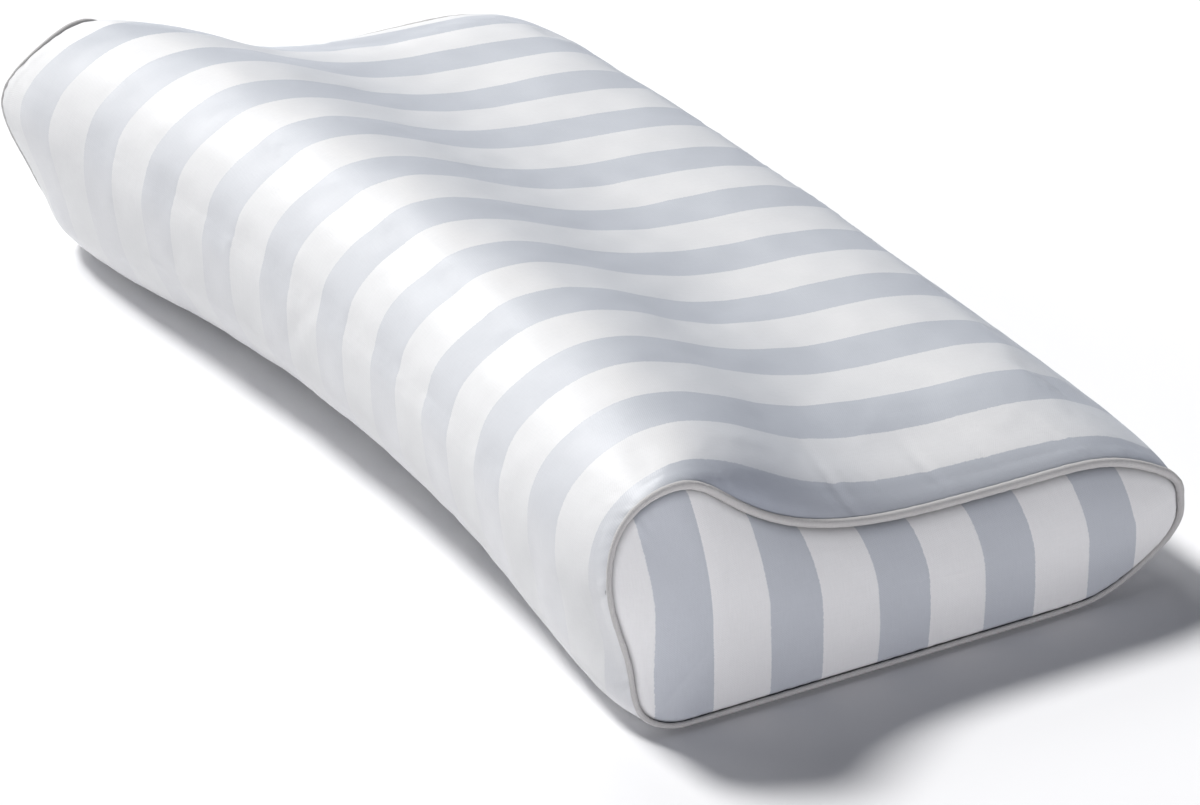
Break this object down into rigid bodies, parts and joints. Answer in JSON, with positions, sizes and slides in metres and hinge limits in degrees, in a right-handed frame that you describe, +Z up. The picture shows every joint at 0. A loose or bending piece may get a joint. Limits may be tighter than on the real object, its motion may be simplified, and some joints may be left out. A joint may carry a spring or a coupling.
{
  "type": "contour bed pillow",
  "caption": "Contour pillow: foam core in a liner, inside a satin-striped zipped cover with piped end panels, high neck roll and lower plateau.",
  "frame": {"origin": "on the surface that the pillow rests on, under the middle of its outer box", "axes": "+X along the pillow, +Y towards the back and its zip, away from the high neck roll, +Z up"},
  "size_m": [0.6, 0.2957, 0.122],
  "materials": {
    "cover_fabric": "satin-stripe damask, pale blue-grey and white",
    "underside_fabric": "plain white woven cotton",
    "piping_fabric": "plain woven piping strip, pale taupe-grey",
    "cord_filler": "twisted cotton cord",
    "liner_fabric": "thin white jersey",
    "foam": "open-cell viscoelastic foam, cream",
    "zip_tape": "white woven zip tape",
    "zip_coil": "white nylon coil",
    "zip_stop": "crimped metal",
    "zip_slider": "white enamelled metal",
    "label": "white woven label, blank"
  },
  "bodies": {
    "pillow": {"cover_wrap_panel": "cover_fabric", "cover_back_strip": "cover_fabric", "cover_bottom_panel": "underside_fabric", "cover_end_panel_left": "cover_fabric", "cover_end_panel_right": "cover_fabric", "end_piping_left": "piping_fabric", "end_piping_right": "piping_fabric", "piping_cord_left": "cord_filler", "piping_cord_right": "cord_filler", "liner_sleeve": "liner_fabric", "liner_end_left": "liner_fabric", "liner_end_right": "liner_fabric", "foam_core": "foam", "zip_tape_upper": "zip_tape", "zip_tape_lower": "zip_tape", "zip_teeth_upper": "zip_coil", "zip_teeth_lower": "zip_coil", "zip_top_stops": "zip_stop", "zip_bottom_stop": "zip_stop", "care_label": "label"},
    "slider": {"zip_slider": "zip_slider"},
    "pull_tab": {"zip_pull_tab": "zip_slider"}
  },
  "joints": [
    {"name": "zip_travel", "type": "slide", "parent": "pillow", "child": "slider", "axis": [1, 0, 0], "range_m": [-0.3836, 0]},
    {"name": "tab_swing", "type": "hinge", "parent": "slider", "child": "pull_tab", "pos_m": [0.1931, 0.14611, 0.03895], "axis": [0, 0, -1], "range_deg": [0, 170]}
  ]
}
